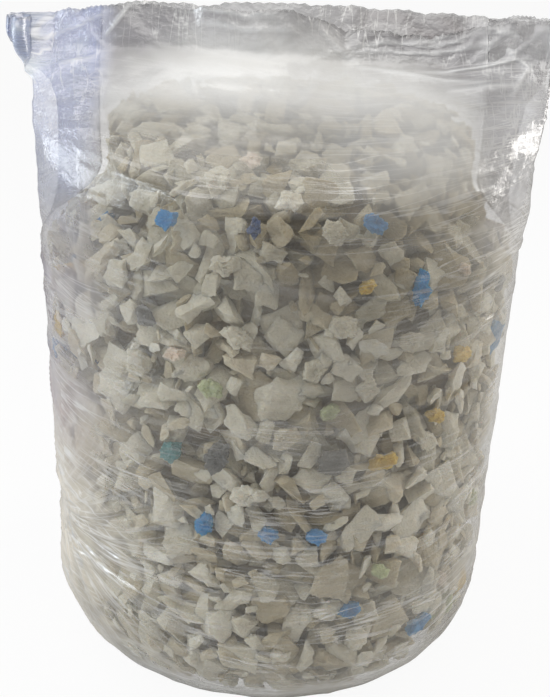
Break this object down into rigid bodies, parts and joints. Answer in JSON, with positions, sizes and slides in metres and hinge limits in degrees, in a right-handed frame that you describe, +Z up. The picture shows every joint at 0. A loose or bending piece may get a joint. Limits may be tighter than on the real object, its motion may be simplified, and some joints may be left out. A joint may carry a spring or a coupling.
{
  "type": "bag of foam flakes",
  "caption": "Clear gusseted film bag packed full of torn foam flakes, standing on its base with its open mouth pressed flat.",
  "frame": {"origin": "middle of the flat base, on the surface that the bag stands on", "axes": "+Z up, +X along the mouth to the right, the front looks along -Y"},
  "size_m": [0.356, 0.3, 0.438],
  "materials": {
    "film": "clear, wrinkled, slightly hazy",
    "mixed_foam": "open-cell foam, torn",
    "white_foam": "open-cell foam, torn",
    "cream_foam": "open-cell foam, torn",
    "blue_foam": "open-cell foam, torn",
    "navy_foam": "open-cell foam, torn",
    "teal_foam": "open-cell foam, torn",
    "grey_foam": "open-cell foam, torn",
    "yellow_foam": "open-cell foam, torn",
    "green_foam": "open-cell foam, torn",
    "pink_foam": "open-cell foam, torn"
  },
  "bodies": {
    "root": {"blue_flake_1": "blue_foam", "blue_flake_10": "blue_foam", "blue_flake_2": "blue_foam", "blue_flake_3": "blue_foam", "blue_flake_4": "blue_foam", "blue_flake_5": "blue_foam", "blue_flake_6": "blue_foam", "blue_flake_7": "blue_foam", "blue_flake_8": "blue_foam", "blue_flake_9": "blue_foam", "cream_flake_1": "cream_foam", "cream_flake_2": "cream_foam", "cream_flake_3": "cream_foam", "cream_flake_4": "cream_foam", "cream_flake_5": "cream_foam", "film_bag": "film", "green_flake_1": "green_foam", "green_flake_2": "green_foam", "green_flake_3": "green_foam", "green_flake_4": "green_foam", "green_flake_5": "green_foam", "grey_flake_1": "grey_foam", "grey_flake_2": "grey_foam", "grey_flake_3": "grey_foam", "grey_flake_4": "grey_foam", "grey_flake_5": "grey_foam", "navy_flake_1": "navy_foam", "packed_flakes": "mixed_foam", "pink_flake_1": "pink_foam", "pink_flake_2": "pink_foam", "pink_flake_3": "pink_foam", "pink_flake_4": "pink_foam", "pink_flake_5": "pink_foam", "teal_flake_1": "teal_foam", "white_flake_1": "white_foam", "white_flake_10": "white_foam", "white_flake_11": "white_foam", "white_flake_12": "white_foam", "white_flake_13": "white_foam", "white_flake_14": "white_foam", "white_flake_15": "white_foam", "white_flake_16": "white_foam", "white_flake_17": "white_foam", "white_flake_18": "white_foam", "white_flake_19": "white_foam", "white_flake_2": "white_foam", "white_flake_3": "white_foam", "white_flake_4": "white_foam", "white_flake_5": "white_foam", "white_flake_6": "white_foam", "white_flake_7": "white_foam", "white_flake_8": "white_foam", "white_flake_9": "white_foam", "yellow_flake_1": "yellow_foam", "yellow_flake_2": "yellow_foam", "yellow_flake_3": "yellow_foam", "yellow_flake_4": "yellow_foam", "yellow_flake_5": "yellow_foam", "yellow_flake_6": "yellow_foam"}
  },
  "joints": []
}
